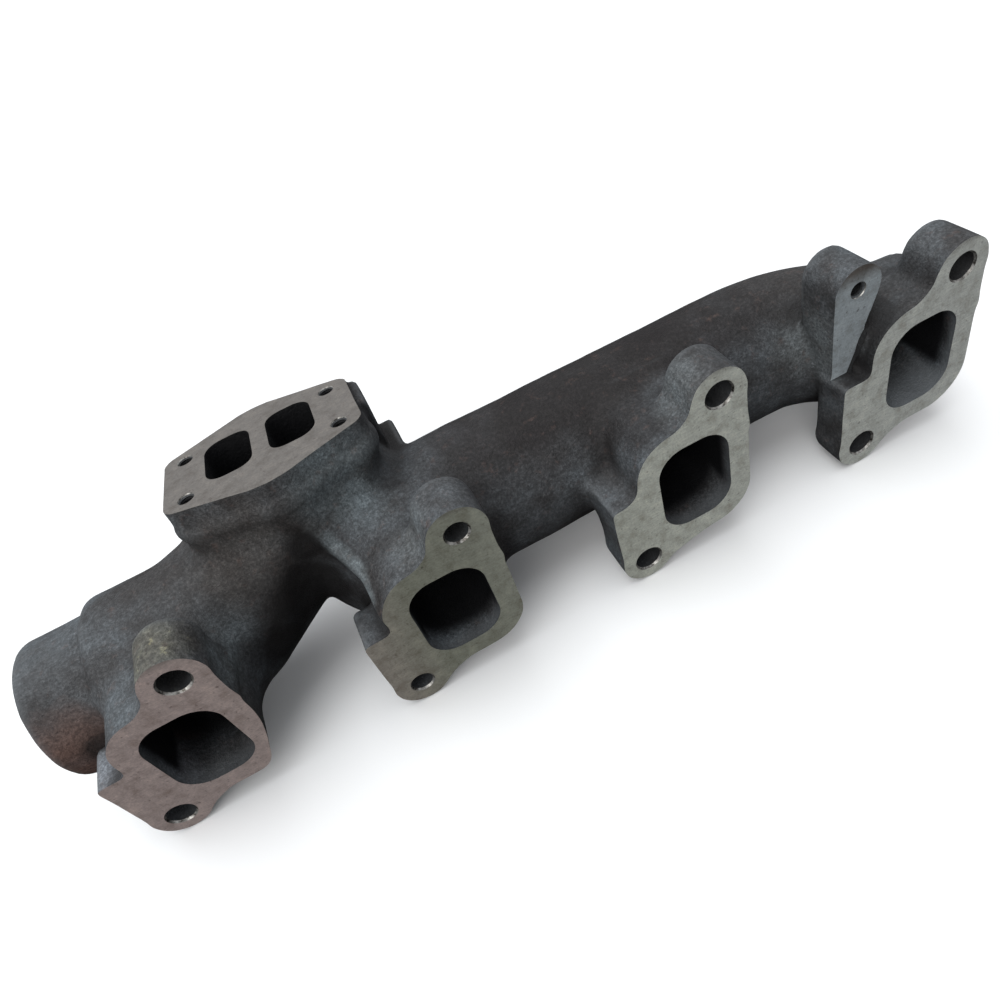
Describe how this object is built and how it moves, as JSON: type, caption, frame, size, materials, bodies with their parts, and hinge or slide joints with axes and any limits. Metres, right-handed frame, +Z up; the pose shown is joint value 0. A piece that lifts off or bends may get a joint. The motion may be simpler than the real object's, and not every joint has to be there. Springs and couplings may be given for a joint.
{
  "type": "exhaust manifold",
  "caption": "Cast-iron exhaust manifold section for an in-line diesel: log with side ports, a slip-joint socket at one end and a divided turbocharger flange on top.",
  "frame": {"origin": "middle of the pair of locating bolt holes of port 2, on the plane of the four gasket faces", "axes": "+X along the log, away from the slip joint; +Y away from the cylinder head; +Z up, towards the turbocharger flange"},
  "size_m": [0.4863, 0.1294, 0.1289],
  "materials": {
    "cast_iron": "as cast, sand grain",
    "machined_iron": "machined"
  },
  "bodies": {
    "root": {"slip_socket": "cast_iron", "front_barrel": "cast_iron", "left_elbow": "cast_iron", "divider_web": "cast_iron", "right_elbow": "cast_iron", "log_port_2": "cast_iron", "log_mid_2_3": "cast_iron", "log_port_3": "cast_iron", "log_mid_3_4": "cast_iron", "end_bend": "cast_iron", "runner_1": "cast_iron", "runner_2": "cast_iron", "runner_3": "cast_iron", "runner_4": "cast_iron", "port_flange_1": "machined_iron", "port_flange_2": "machined_iron", "port_flange_3": "machined_iron", "port_flange_4": "machined_iron", "upper_boss_1": "cast_iron", "upper_boss_2": "cast_iron", "upper_boss_3": "cast_iron", "upper_boss_4": "cast_iron", "lower_lug_1": "cast_iron", "lower_lug_2": "cast_iron", "lower_lug_3": "cast_iron", "lower_lug_4": "cast_iron", "turbo_riser": "cast_iron", "turbo_flange": "machined_iron", "bracket_boss": "cast_iron", "side_pad": "cast_iron"}
  },
  "joints": []
}
